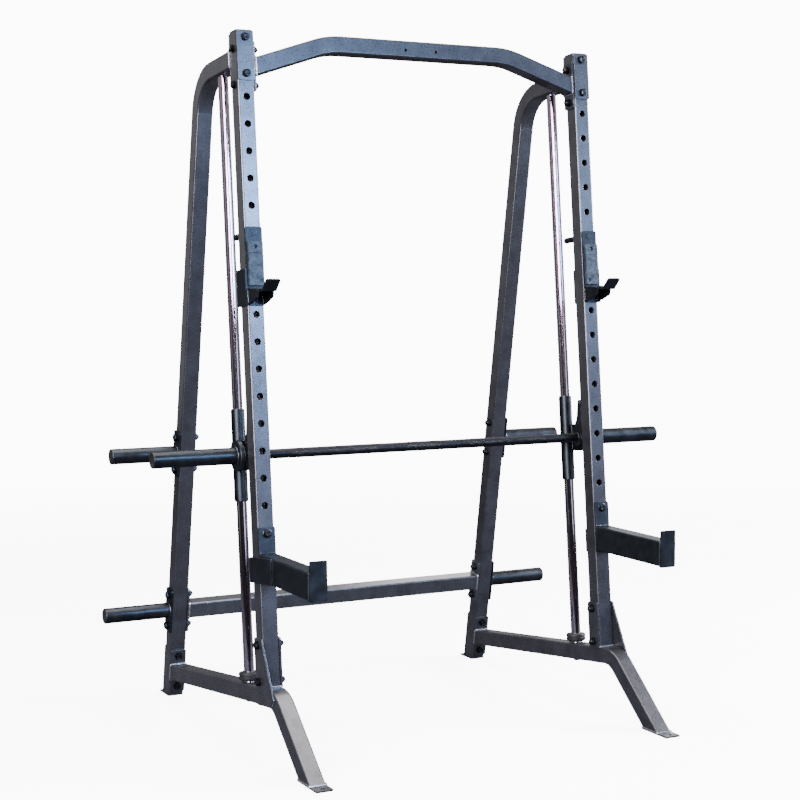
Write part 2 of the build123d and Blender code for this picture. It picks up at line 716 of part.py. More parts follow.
with BuildPart() as frame_bolts:
    for point, direction, clamped, x_dir in clamps:
        seat = looking(point + direction * washer, direction, x_dir)
        with BuildSketch(seat):
            RegularPolygon(bolt_flats / 2, 6, major_radius=False)
        extrude(amount=bolt_head)
        with BuildSketch(seat):
            Circle(bolt_d / 2)
        extrude(amount=-(clamped + 2 * washer + nut_height + bolt_past_nut))
save(frame_bolts, "frame_bolts")

with BuildPart() as frame_nuts:
    for point, direction, clamped, x_dir in clamps:
        with BuildSketch(looking(point - direction * (clamped + washer), -direction, x_dir)):
            RegularPolygon(bolt_flats / 2, 6, major_radius=False)
            Circle(bolt_d / 2 + thread_gap, mode=Mode.SUBTRACT)
        extrude(amount=nut_height)
save(frame_nuts, "frame_nuts")

with BuildPart() as frame_washers:
    for point, direction, clamped, x_dir in clamps:
        for start, way in ((point, direction), (point - direction * clamped, -direction)):
            with BuildSketch(looking(start, way, x_dir)):
                Circle(washer_d / 2)
                Circle(bolt_hole / 2, mode=Mode.SUBTRACT)
            extrude(amount=washer)
save(frame_washers, "frame_washers")

with BuildPart() as rod_bolts:
    under_rail = rail_centre - rail_top.z_dir * edge
    rail_under = crossing(under_rail, rail_forward, post_at(0, rod_offset, 0), up_post)
    under_s = post_side.to_local_coords(rail_under).Y - rod_bolt_sink
    top_s = arm_s + edge
    for name, side in sides:
        x = side * half
        for seat_s, direction, through in (
            (top_s, up_post, tube), (under_s, -up_post, -under_s),
        ):
            seat = looking(post_at(x, rod_offset, seat_s), direction)
            with BuildSketch(seat):
                RegularPolygon(rod_bolt_flats / 2, 6, major_radius=False)
            extrude(amount=rod_bolt_head)
            with BuildSketch(seat):
                Circle(rod_bolt_d / 2)
            extrude(amount=-(through + rod_bolt_in))
save(rod_bolts, "guide_rod_bolts")
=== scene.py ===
import json
import math
import random

import bmesh
import bpy
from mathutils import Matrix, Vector


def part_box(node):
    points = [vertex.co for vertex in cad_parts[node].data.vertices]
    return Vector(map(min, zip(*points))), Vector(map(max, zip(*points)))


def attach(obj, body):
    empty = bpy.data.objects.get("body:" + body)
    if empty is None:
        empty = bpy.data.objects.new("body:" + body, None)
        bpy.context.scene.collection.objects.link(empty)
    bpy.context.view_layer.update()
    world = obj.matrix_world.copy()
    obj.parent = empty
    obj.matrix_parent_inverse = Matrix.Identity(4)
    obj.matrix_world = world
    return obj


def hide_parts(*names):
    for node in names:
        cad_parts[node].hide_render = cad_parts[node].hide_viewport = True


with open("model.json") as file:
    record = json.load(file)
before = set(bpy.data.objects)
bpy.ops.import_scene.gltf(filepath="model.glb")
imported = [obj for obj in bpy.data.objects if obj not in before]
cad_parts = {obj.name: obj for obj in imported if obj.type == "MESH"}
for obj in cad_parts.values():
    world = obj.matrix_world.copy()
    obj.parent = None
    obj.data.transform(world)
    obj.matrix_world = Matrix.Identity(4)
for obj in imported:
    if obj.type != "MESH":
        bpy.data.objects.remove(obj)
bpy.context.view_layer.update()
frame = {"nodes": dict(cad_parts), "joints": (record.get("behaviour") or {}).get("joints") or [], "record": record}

MM = 0.001
X_AXIS = Vector((1, 0, 0))
record = frame["record"]
joints = {j["name"]: j for j in frame["joints"]}
mounts = {m["name"]: m for m in record["mounts"]}
SIDES = (("left", -1), ("right", 1))
random.seed(7)

# ---------------------------------------------------------------- axes of the leaning parts
UP = Vector(joints["carriage_slide"]["axis"]).normalized()
REAR = Vector((0, UP.z, -UP.y))
J_PIN, ARM_PIN = 1268.1, 429.9  # the pins of the J-hook and the spotter arm, in mm along the upright
LEG_LOW, LEG_HIGH = 288.0, 803.0  # the storage pegs, in mm along the rear leg
leg_low = Vector(mounts["left_lower_storage_peg"]["pos_m"])
leg_high = Vector(mounts["left_upper_storage_peg"]["pos_m"])
LEG_UP = (leg_high - leg_low).normalized()
LEG_REAR = Vector((0, LEG_UP.z, -LEG_UP.y))
POST_FOOT = Vector(joints["left_j_hook_turn"]["pos_m"]) - UP * (J_PIN * MM)
HALF = -POST_FOOT.x
POST_FOOT.x = 0
LEG_FOOT = leg_low - LEG_UP * (LEG_LOW * MM)
LEG_FOOT.x = 0
BAR = Vector(joints["bar_turn"]["pos_m"])
BAR.x = 0


def post(x, d, s):
    """A point beside an upright, in mm: x across, d behind its centre line, s along it."""
    return POST_FOOT + X_AXIS * (x * MM) + REAR * (d * MM) + UP * (s * MM)


def leg(x, d, h):
    """A point beside a rear leg, in mm."""
    return LEG_FOOT + X_AXIS * (x * MM) + LEG_REAR * (d * MM) + LEG_UP * (h * MM)


HALF_MM = HALF / MM
EDGE = 25.0  # half the frame tube
PLATE = 6.0
GUSSET = 5.0
TUBE_CORNER = 5.0
PITCH = 50.8  # a joint's bolts stand this far from its middle
ARM_S, SIDE_S, FOOT_S, BRACKET_H = 1764.0, 1736.0, 67.5, 90.4
PLATE_FACE = HALF_MM - EDGE - PLATE
FOOT_ANGLE = math.radians(40.5)
FOOT_Y = -0.532  # where the front foot's centre line would meet the floor, in metres
SLEEVE_S = 598.5  # a weight sleeve's inner end, along the bar
SLIDE_S, SLIDE_HALF, WEB_HALF = 647.0, 131.0, 38.0  # a slide housing: its middle, half its length, half its web's
HOOK_SCREWS = ((0, 1228), (12, 1132))  # the pad screws: outwards, and along the upright
BAR_R = 14.0


# ---------------------------------------------------------------- materials
class Nodes:
    """Short calls for a node tree."""

    def __init__(self, tree):
        self.tree = tree

    def add(self, kind, **values):
        n = self.tree.nodes.new(kind)
        for key, value in values.items():
            setattr(n, key, value)
        return n

    def link(self, a, b):
        self.tree.links.new(a, b)

    def place(self, scale=(1, 1, 1), tilt=0.0):
        """Object coordinates, stretched and turned about X."""
        coord = self.add("ShaderNodeTexCoord")
        mapping = self.add("ShaderNodeMapping")
        mapping.inputs["Scale"].default_value = scale
        mapping.inputs["Rotation"].default_value = (tilt, 0, 0)
        self.link(coord.outputs["Object"], mapping.inputs["Vector"])
        return mapping.outputs["Vector"]

    def noise(self, vector, scale, detail=3.0, rough=0.55):
        n = self.add("ShaderNodeTexNoise")
        n.inputs["Scale"].default_value = scale
        n.inputs["Detail"].default_value = detail
        n.inputs["Roughness"].default_value = rough
        self.link(vector, n.inputs["Vector"])
        return n.outputs["Fac"]

    def voronoi(self, vector, scale):
        n = self.add("ShaderNodeTexVoronoi")
        n.inputs["Scale"].default_value = scale
        self.link(vector, n.inputs["Vector"])
        return n.outputs["Distance"]

    def ramp(self, value, stops):
        n = self.add("ShaderNodeValToRGB")
        elements = n.color_ramp.elements
        while len(elements) < len(stops):
            elements.new(0.5)
        for element, (place, colour) in zip(elements, stops):
            element.position = place
            element.color = (*colour, 1) if len(colour) == 3 else colour
        self.link(value, n.inputs["Fac"])
        return n.outputs["Color"]

    def span(self, value, low, high, start=0.3, end=0.7):
        n = self.add("ShaderNodeMapRange")
        n.inputs["From Min"].default_value = start
        n.inputs["From Max"].default_value = end
        n.inputs["To Min"].default_value = low
        n.inputs["To Max"].default_value = high
        self.link(value, n.inputs["Value"])
        return n.outputs["Result"]

    def mix(self, factor, a, b):
        """Mixes two colour outputs by a value output."""
        n = self.add("ShaderNodeMix", data_type="RGBA")
        self.link(factor, n.inputs["Factor"])
        self.link(a, n.inputs[6])
        self.link(b, n.inputs[7])
        return n.outputs[2]

    def edges(self, radius=0.0008):
        """The normal of slightly rounded edges, as coated and moulded parts have."""
        n = self.add("ShaderNodeBevel", samples=4)
        n.inputs["Radius"].default_value = radius
        return n.outputs["Normal"]

    def bump(self, height, strength, distance, normal=None):
        n = self.add("ShaderNodeBump")
        n.inputs["Strength"].default_value = strength
        n.inputs["Distance"].default_value = distance
        self.link(height, n.inputs["Height"])
        if normal is not None:
            self.link(normal, n.inputs["Normal"])
        return n.outputs["Normal"]


def new_material(name, metallic=0.0, specular=0.5, coat=0.0, coat_rough=0.1):
    m = bpy.data.materials.new(name)
    m.use_nodes = True
    shader = m.node_tree.nodes["Principled BSDF"]
    shader.inputs["Metallic"].default_value = metallic
    shader.inputs["Specular IOR Level"].default_value = specular
    shader.inputs["Coat Weight"].default_value = coat
    shader.inputs["Coat Roughness"].default_value = coat_rough
    return m, Nodes(m.node_tree), shader


def frame_paint(name, dark, light, rough=(0.26, 0.32), metallic=0.86):
    """Metallic powder coat: cloudy at the scale of a hand, hammered at a few millimetres, flecked below."""
    m, n, shader = new_material(name, metallic=metallic, coat=0.25, coat_rough=0.28)
    where = n.place()
    cloud = n.noise(where, 22, 3, 0.5)
    hammer = n.noise(where, 260, 2, 0.5)
    fleck = n.voronoi(where, 1400)
    peel = n.noise(where, 900, 2, 0.5)
    base = n.ramp(cloud, [(0.28, dark), (0.52, tuple((a + b) / 2 for a, b in zip(dark, light))), (0.76, light)])
    pale = n.ramp(cloud, [(0.3, tuple(c * 1.12 for c in dark)), (0.75, tuple(c * 1.12 for c in light))])
    shine = n.span(fleck, 0.55, 0.0, 0.05, 0.42)
    n.link(n.mix(shine, base, pale), shader.inputs["Base Color"])
    n.link(n.span(hammer, rough[0], rough[1]), shader.inputs["Roughness"])
    first = n.bump(hammer, 0.05, 0.0004, n.edges(0.0014))
    n.link(n.bump(peel, 0.05, 0.0002, first), shader.inputs["Normal"])
    return m


def satin_black(name, tone=0.042, rough=(0.30, 0.42), scuff=0.0):
    """Black powder coat, with fine orange peel and, where weights slide, faint scuffs."""
    m, n, shader = new_material(name, metallic=0.95)
    shader.inputs["Specular Tint"].default_value = (0.62, 0.64, 0.68, 1)
    where = n.place()
    cloud = n.noise(where, 30, 4)
    grain = n.noise(where, 1100, 2)
    base = n.ramp(cloud, [(0.3, (tone * 0.80, tone * 0.88, tone)), (0.7, (tone * 1.15, tone * 1.28, tone * 1.5))])
    if scuff:
        around = n.place((420, 26, 26))
        marks = n.ramp(n.noise(around, 1.0, 6, 0.7), [(0.60, (0, 0, 0)), (0.72, (scuff, scuff, scuff))])
        worn = n.ramp(cloud, [(0.2, (0.10, 0.10, 0.105)), (0.8, (0.15, 0.15, 0.155))])
        base = n.mix(marks, base, worn)
    n.link(base, shader.inputs["Base Color"])
    n.link(n.span(cloud, rough[0], rough[1]), shader.inputs["Roughness"])
    n.link(n.bump(grain, 0.14, 0.00025, n.edges()), shader.inputs["Normal"])
    return m


def chrome():
    """Drawn chrome: lengthwise streaks in its gloss, faint rings where the slides run, and a pink-violet tint in its
    colour that is a painted reflection.
    """
    m, n, shader = new_material("chrome_rod_painted_reflection", metallic=1.0)
    tilt = math.atan2(UP.y, UP.z)
    along = n.place((700, 700, 5), tilt)
    rings = n.place((14, 14, 900), tilt)
    streak = n.noise(along, 1.0, 3)
    ring = n.noise(rings, 1.0, 2)
    # painted reflection: the pink-violet tint of this ramp stands in for pink light reflected on the rods
    n.link(n.ramp(streak, [(0.3, (0.30, 0.25, 0.30)), (0.7, (0.74, 0.64, 0.70))]), shader.inputs["Base Color"])
    n.link(n.span(streak, 0.03, 0.09), shader.inputs["Roughness"])
    first = n.bump(streak, 0.05, 0.0002)
    n.link(n.bump(ring, 0.035, 0.0001, first), shader.inputs["Normal"])
    return m


def dark_steel(name, low, high, rough=(0.22, 0.40), scale=300):
    m, n, shader = new_material(name, metallic=1.0)
    where = n.place()
    cloud = n.noise(where, scale, 4)
    n.link(n.ramp(cloud, [(0.3, low), (0.7, high)]), shader.inputs["Base Color"])
    n.link(n.span(cloud, rough[0], rough[1]), shader.inputs["Roughness"])
    n.link(n.bump(n.noise(where, 1800, 2), 0.12, 0.0001), shader.inputs["Normal"])
    return m


def plastic(
    name, low, high, rough=(0.42, 0.58), grain=900, strength=0.35, depth=0.0003, gloss=0.45, waviness=0.0,
):
    m, n, shader = new_material(name, specular=gloss)
    where = n.place()
    cloud = n.noise(where, 60, 4)
    n.link(n.ramp(cloud, [(0.3, low), (0.7, high)]), shader.inputs["Base Color"])
    n.link(n.span(cloud, rough[0], rough[1]), shader.inputs["Roughness"])
    waves = n.bump(n.noise(where, 110, 2), waviness, 0.001, n.edges())
    n.link(n.bump(n.voronoi(where, grain), strength, depth, waves), shader.inputs["Normal"])
    return m


PAINT = frame_paint("gunmetal_coat", (0.056, 0.054, 0.061), (0.088, 0.089, 0.102))
# The coats of these two are toned to make up for the lights of this view: the pull-up bar's darker copy of the frame
# paint is painted shade, the crossmember's lighter copy is painted light. The real paint may well be PAINT.
BAR_PAINTED_SHADE = frame_paint("pull_up_bar_coat_painted_shade", (0.038, 0.036, 0.041), (0.062, 0.062, 0.070))
CROSS_PAINTED_LIGHT = frame_paint("crossmember_coat_painted_light", (0.074, 0.074, 0.084), (0.112, 0.116, 0.134))
# painted highlight: the frame's weld beads get a lighter, glossier copy of the frame paint, standing in for light
# caught on the beads; the real welds are under the same coat
PAINTED_HIGHLIGHT_WELD = frame_paint("painted_highlight_weld_coat", (0.16, 0.16, 0.17), (0.36, 0.36, 0.38), rough=(0.20, 0.34), metallic=0.85)
BLACK = satin_black("black_coat")
SLEEVE = satin_black("sleeve_coat", tone=0.030, scuff=0.4)
# painted shade: the slide housings' coat is toned darker than the other black parts to offset the light on these
# cylinders
HOUSING_PAINTED_SHADE = satin_black("housing_coat_painted_shade", tone=0.021)
HOOK = satin_black("hook_coat", tone=0.026, rough=(0.36, 0.48))
# painted highlight: the beads on black parts get a lighter, glossier copy of the black coat, standing in for light
# caught on the beads
PAINTED_HIGHLIGHT_BLACK_WELD = satin_black("painted_highlight_black_weld_coat", tone=0.075, rough=(0.24, 0.34))
CHROME_PAINTED_REFLECTION = chrome()
BOLT = dark_steel("black_oxide", (0.014, 0.014, 0.016), (0.036, 0.036, 0.040), rough=(0.26, 0.42))
BAR_STEEL = dark_steel("black_bar_steel", (0.014, 0.014, 0.016), (0.024, 0.025, 0.029), rough=(0.42, 0.55), scale=120)
STEEL = dark_steel("ground_steel", (0.40, 0.40, 0.41), (0.60, 0.60, 0.61))
PAD = plastic(
    "pad_plastic", (0.006, 0.009, 0.013), (0.034, 0.050, 0.074),
    rough=(0.36, 0.52), strength=0.9, grain=330, gloss=0.26, waviness=0.9,
)
CAP = plastic("cap_plastic", (0.004, 0.004, 0.005), (0.008, 0.008, 0.009), rough=(0.30, 0.42), strength=0.15)
BUSHING = plastic("bushing_plastic", (0.62, 0.61, 0.57), (0.76, 0.75, 0.70), strength=0.1)
RUBBER = plastic("rubber", (0.004, 0.004, 0.005), (0.010, 0.010, 0.012), rough=(0.50, 0.70), grain=1500, gloss=0.3)

LOOKS = {
    "frame_paint": PAINT, "black_paint": BLACK, "chrome": CHROME_PAINTED_REFLECTION, "black_steel": BOLT, "bar_steel": BAR_STEEL,
    "pad_plastic": PAD, "cap_plastic": CAP, "bushing_plastic": BUSHING, "rubber": RUBBER, "bearing_steel": STEEL,
}
slot_of = {s["node"]: s["material_slot"] for s in record["subparts"]}


# ---------------------------------------------------------------- CAD nodes
for node, obj in frame["nodes"].items():
    look = LOOKS[slot_of[node]]
    if node.endswith(("weight_sleeve", "weight_peg")):
        look = SLEEVE
    if node.endswith("j_hook"):
        look = HOOK
    # painted shade: the pull-up bar gets a darker copy of the frame paint
    if node == "pull_up_bar":
        look = BAR_PAINTED_SHADE
    # painted light: the crossmember gets a lighter copy of the frame paint
    if node == "rear_crossmember":
        look = CROSS_PAINTED_LIGHT
    # painted shade: the housings get the darker housing coat
    if node.endswith("housing"):
        look = HOUSING_PAINTED_SHADE
    obj.data.materials.clear()
    obj.data.materials.append(look)


# ---------------------------------------------------------------- mesh pieces
class Shape:
    """Collects vertices and faces, in metres in the row frame, into one piece."""

    def __init__(self):
        self.verts, self.faces = [], []

    def rings(self, rings, close_start=False, close_end=False, loop=False):
        """Joins rings of points, each of the same count, into a skin."""
        start, count = len(self.verts), len(rings[0])
        for ring in rings:
            self.verts.extend(ring)
        total = len(rings)
        for i in range(total if loop else total - 1):
            a, b = start + i * count, start + ((i + 1) % total) * count
            for j in range(count):
                k = (j + 1) % count
                self.faces.append((a + j, a + k, b + k, b + j))
        if close_start:
            self.faces.append(tuple(start + j for j in reversed(range(count))))
        if close_end:
            self.faces.append(tuple(start + (total - 1) * count + j for j in range(count)))

    def turned(self, origin, axis, profile, steps=48, shape=None, ends=(True, True)):
        """A turned part: profile is (radius, height) in mm along the axis. shape(angle) scales a ring."""
        axis = axis.normalized()
        u = axis.orthogonal().normalized()
        if abs(axis.dot(X_AXIS)) < 0.9:
            u = (X_AXIS - axis * axis.dot(X_AXIS)).normalized()
        v = axis.cross(u)
        rings = []
        for item in profile:
            ring = []
            for i in range(steps):
                angle = math.tau * i / steps
                r, h = item(angle) if callable(item) else item
                ring.append(origin + (u * math.cos(angle) + v * math.sin(angle)) * (r * MM) + axis * (h * MM))
            rings.append(ring)
        self.rings(rings, ends[0], ends[1])

    def bead(self, points, radius, face, closed=True, spacing=1.0, period=3.2):
        """A weld bead along a path of points, laid on surfaces whose plane has the normal face."""
        path = resample(points, spacing * MM, closed)
        count = len(path)
        rings = []
        for i, point in enumerate(path):
            before = path[(i - 1) % count] if closed or i else point
            after = path[(i + 1) % count] if closed or i < count - 1 else point
            along = (after - before).normalized()
            side = along.cross(face).normalized()
            phase = (i * spacing / period) % 1.0
            swell = 1.0 + 0.16 * math.sin(math.pi * phase) + random.uniform(-0.03, 0.03)
            end = 1.0
            if not closed:
                reach = min(i, count - 1 - i) * spacing / (radius * 1.2)
                end = min(1.0, 0.25 + 0.75 * math.sqrt(min(1.0, reach)))
            ring = []
            for j in range(8):
                angle = math.tau * j / 8
                out = face * math.cos(angle) + side * math.sin(angle)
                lag = along * (0.35 * radius * MM * math.sin(math.pi * phase) * math.cos(angle * 2))
                ring.append(point + out * (radius * MM * swell * end) + lag * 0.4)
            rings.append(ring)
        self.rings(rings, not closed, not closed, loop=closed)

    def build(self, name, body, look, slot, nodes=(), smooth=True):
        mesh = bpy.data.meshes.new(name)
        mesh.from_pydata([tuple(v) for v in self.verts], [], self.faces)
        mesh.validate()
        work = bmesh.new()
        work.from_mesh(mesh)
        bmesh.ops.remove_doubles(work, verts=work.verts, dist=1e-7)
        bmesh.ops.recalc_face_normals(work, faces=work.faces)
        for face in work.faces:
            face.smooth = smooth
        for edge in work.edges:
            if len(edge.link_faces) == 2 and edge.calc_face_angle(0) > math.radians(32):
                edge.smooth = False
        work.to_mesh(mesh)
        work.free()
        obj = bpy.data.objects.new(name, mesh)
        bpy.context.scene.collection.objects.link(obj)
        obj.data.materials.append(look)
        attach(obj, body)
        if nodes:
            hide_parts(*nodes)
        return obj


def resample(points, step, closed):
    """Points at even steps along a path."""
    route = list(points) + ([points[0]] if closed else [])
    lengths = [(b - a).length for a, b in zip(route, route[1:])]
    total = sum(lengths)
    count = max(4, round(total / step))
    out, index, gone = [], 0, 0.0
    for i in range(count if closed else count + 1):
        target = total * i / count
        while index < len(lengths) - 1 and gone + lengths[index] < target:
            gone += lengths[index]
            index += 1
        share = (target - gone) / lengths[index] if lengths[index] else 0
        out.append(route[index].lerp(route[index + 1], min(1, max(0, share))))
    return out


def rounded_loop(centre, u, v, width, height, radius, grow=0.0):
    """A rounded rectangle as points, in mm about a centre; grow moves it outwards."""
    points = []
    for corner in range(4):
        turn = math.radians(90 * corner)
        sx = 1 if corner in (0, 3) else -1
        sy = 1 if corner in (0, 1) else -1
        for step in range(7):
            angle = turn + math.radians(90) * step / 6
            px = sx * (width / 2 - radius) + (radius + grow) * math.cos(angle)
            py = sy * (height / 2 - radius) + (radius + grow) * math.sin(angle)
            points.append(centre + u * (px * MM) + v * (py * MM))
    return points


def circle(centre, u, v, radius, steps=48):
    return [
        centre + (u * math.cos(math.tau * i / steps) + v * math.sin(math.tau * i / steps)) * (radius * MM)
        for i in range(steps)
    ]


def hex_radius(flats, angle):
    """The radius of a hexagon across its flats at an angle."""
    return flats / 2 / math.cos((angle + math.radians(30)) % math.radians(60) - math.radians(30))


CHAMFER = math.tan(math.radians(30))


def chamfered(flats, height, drop):
    """A ring of a hexagon whose corners are turned down by a cone."""
    def at(angle):
        r = hex_radius(flats, angle)
        return r, height + drop * (r - flats / 2 * 0.97) * CHAMFER
    return at


def plain_hex(flats, height, inset=0.0):
    def at(angle):
        return hex_radius(flats, angle) - inset, height
    return at


def bolt(shape, seat, direction, flats, head, diameter, length, pitch=1.75, flange=0.0):
    """A hex bolt: head above the seat, shank below it, thread on its last stretch."""
    foot = [(flats * 0.44, 0.0), (flats * 0.46, 0.5), plain_hex(flats, 0.6, 0.35)]
    if flange:
        foot = [
            (flange - 0.6, 0.0), (flange, 0.6), (flange, 2.0), (flange - 1.0, 2.9), (flats * 0.62, 3.4),
            plain_hex(flats, 3.6),
        ]
    shape.turned(seat, direction, foot + [
        plain_hex(flats, foot[-1](0)[1] + 0.3), chamfered(flats, head, -1), (flats * 0.465, head - 0.02),
        (flats * 0.36, head), (flats * 0.33, head - 0.35), (flats * 0.10, head - 0.35),
    ])
    r = diameter / 2
    thread = min(length - 4, 34)
    profile = [(r, 0.0), (r, -(length - thread))]
    h = length - thread
    while h < length - pitch:
        profile.append((r - 0.02, -(h + pitch * 0.15)))
        profile.append((r - 0.75, -(h + pitch * 0.5)))
        profile.append((r - 0.02, -(h + pitch * 0.85)))
        h += pitch
    profile += [(r - 0.9, -(length - 0.3)), (r - 1.3, -length)]
    shape.turned(seat, direction, profile, steps=24)


def lock_nut(shape, seat, direction, flats, height, bore):
    """A nut with a nylon ring in its collar."""
    collar = flats * 0.43
    shape.turned(seat, direction, [
        (bore, 0.0), (flats * 0.46, 0.0), chamfered(flats, 0.1, 1), chamfered(flats, height * 0.72, -1),
        (collar, height * 0.76), (collar, height * 0.90), (collar - 0.9, height), (bore + 1.1, height),
        (bore + 0.4, height - 0.4), (bore, height - 1.6), (bore, 0.0),
    ], ends=(False, False))


# ---------------------------------------------------------------- fasteners
WASHER = 2.5
HEAD, NUT, M12, AF = 7.5, 10.8, 12.0, 19.0
clamps = []
for _, side in SIDES:
    x = side * HALF_MM
    outer = x + side * EDGE
    outward = X_AXIS * side
    both = 2 * EDGE + 2 * PLATE
    single = 2 * EDGE + PLATE
    for sign in (-1, 1):
        off = sign * PITCH
        clamps += [
            (post(x, -EDGE - PLATE, ARM_S + off), -REAR, both),
            (post(outer, 0, SIDE_S + off), outward, single),
            (post(outer + side * GUSSET, 0, FOOT_S + off), outward, single + GUSSET),
            (leg(x, -EDGE - PLATE, BRACKET_H + off), -LEG_REAR, single + GUSSET),
            (leg(outer + side * PLATE, 0, LEG_LOW + off), outward, both),
            (leg(outer + side * PLATE, 0, LEG_HIGH + off), outward, single),
        ]
bolts, nuts = Shape(), Shape()
for seat, direction, clamped in clamps:
    length = clamped + 2 * WASHER + NUT + 3
    bolt(bolts, seat + direction * (WASHER * MM), direction, AF, HEAD, M12, length)
    lock_nut(nuts, seat - direction * ((clamped + WASHER) * MM), -direction, AF, NUT, M12 / 2 + 0.05)
bolts.build("hex_bolts", "frame", BOLT, "black_steel", ["frame_bolts"])
nuts.build("lock_nuts", "frame", BOLT, "black_steel", ["frame_nuts"])

rod_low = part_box("guide_rod_bolts")[0]
rod_bolts = Shape()
ROD_D, ROD_HEAD, ROD_AF, ROD_BOLT = 147.0, 6.5, 17.0, 10.0
under_s = -((post(0, ROD_D, 0).z - rod_low.z) / UP.z) / MM + ROD_HEAD + 0.9
for _, side in SIDES:
    x = side * HALF_MM
    bolt(rod_bolts, post(x, ROD_D, ARM_S + EDGE), UP, ROD_AF, ROD_HEAD, ROD_BOLT, 68, 1.5)
    bolt(rod_bolts, post(x, ROD_D, under_s), -UP, ROD_AF, ROD_HEAD, ROD_BOLT, 68, 1.5)
rod_bolts.build("rod_hex_bolts", "frame", BOLT, "black_steel", ["guide_rod_bolts"])

SKIN = 31.5  # the front face of a fitting's plate, in front of the upright's centre line
PIN, PIN_HEAD, PIN_AF, PIN_FLANGE = 18.0, 10.0, 18.0, 13.6
for name, side in SIDES:
    x = side * HALF_MM
    pin_bolt = Shape()
    seat = post(x, -SKIN, ARM_PIN)
    bolt(pin_bolt, seat, -REAR, PIN_AF, PIN_HEAD, PIN, SKIN + EDGE + 4, 2.0, PIN_FLANGE)
    pin_bolt.build(f"{name}_arm_hex_bolt", f"{name}_spotter_arm", BOLT, "black_steel", [f"{name}_spotter_bolt"])

    screws = Shape()
    for out, s in HOOK_SCREWS:
        seat = post(x + side * out, -SKIN - 6, s)
        screws.turned(seat, -REAR, [
            (5.0, 0.0), (5.0, 0.6), (4.6, 1.7), (3.6, 2.6), (2.6, 3.0), plain_hex(3.0, 2.9), plain_hex(2.9, 0.4),
        ], steps=36, ends=(True, True))
    screws.build(f"{name}_hook_screws", f"{name}_j_hook", BOLT, "black_steel", [f"{name}_j_hook_screws"])

# ---------------------------------------------------------------- weld beads and wiper rings
RAIL_SLOPE = math.radians(7.0)
RAIL_UP = Vector((0, math.sin(RAIL_SLOPE), math.cos(RAIL_SLOPE)))
RAIL_REAR = Vector((0, RAIL_UP.z, -RAIL_UP.y))
welds = Shape()
for name, side in SIDES:
    x = side * HALF_MM
    outward = X_AXIS * side
    # top arm to its end plate, seen from behind
    welds.bead(rounded_loop(post(x, EDGE + PLATE + 0.6, ARM_S), X_AXIS, UP, 50, 50, TUBE_CORNER, 0.8), 2.6, REAR)
    # side rail to its bracket plate
    end = leg(x, -EDGE - PLATE - 0.6, BRACKET_H)
    gap = (end - (POST_FOOT + X_AXIS * (x * MM) - RAIL_UP * (EDGE * MM))).dot(RAIL_UP)
    end = end - LEG_UP * (gap / LEG_UP.dot(RAIL_UP))
    welds.bead(rounded_loop(end, X_AXIS, LEG_UP, 50, 50.1, TUBE_CORNER, 0.8), 2.8, -LEG_REAR)
    # front foot plate to the foot
    foot_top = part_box(f"{name}_front_foot")[1].z
    cut = 50 / math.sin(FOOT_ANGLE)
    middle = Vector((x * MM, FOOT_Y + foot_top / math.tan(FOOT_ANGLE), foot_top + 0.0006))
    welds.bead(rounded_loop(middle, X_AXIS, Vector((0, 1, 0)), 50, cut, TUBE_CORNER, 0.8), 2.6, Vector((0, 0, 1)))
    # pull-up bar and crossmember to their end plates
    face = side * (PLATE_FACE - 0.6)
    welds.bead(rounded_loop(post(face, 0, SIDE_S), REAR, UP, 50, 52.7, TUBE_CORNER, 0.8), 2.6, outward)
    welds.bead(rounded_loop(leg(face, 0, LEG_LOW), LEG_REAR, LEG_UP, 50, 50, TUBE_CORNER, 0.8), 2.6, outward)
    # upright to the side rail
    rail_top = POST_FOOT + X_AXIS * (x * MM) + RAIL_UP * (0.8 * MM)
    welds.bead(rounded_loop(rail_top, X_AXIS, RAIL_REAR, 50, 50, TUBE_CORNER, 0.8), 2.4, RAIL_UP)
    # gusset to the side of the rail
    skin_x = x + side * (EDGE + 0.6)
    welds.bead([post(skin_x, -92, -23), post(skin_x, -73, -46), post(skin_x, 24, -49)], 2.2, outward, closed=False)
welds.build("frame_welds", "frame", PAINTED_HIGHLIGHT_WELD, "frame_paint")

black_welds = Shape()
for _, side in SIDES:
    outward = X_AXIS * side
    for height in (LEG_LOW, LEG_HIGH):
        root = leg(side * (HALF_MM + EDGE + PLATE + 0.5), 0, height)
        black_welds.bead(circle(root, LEG_REAR, LEG_UP, 24.8), 2.4, outward)
black_welds.build("peg_welds", "frame", PAINTED_HIGHLIGHT_BLACK_WELD, "black_paint")

bar_welds = Shape()
for _, side in SIDES:
    for place in (HALF_MM - 6.4, HALF_MM + 6.4):
        bar_welds.bead(circle(BAR + X_AXIS * (side * place * MM), REAR, UP, 14.4), 1.8, X_AXIS)
    bar_welds.bead(circle(BAR + X_AXIS * (side * SLEEVE_S * MM), REAR, UP, 24.5), 2.0, X_AXIS)
bar_welds.build("bar_welds", "bar", PAINTED_HIGHLIGHT_BLACK_WELD, "black_paint")

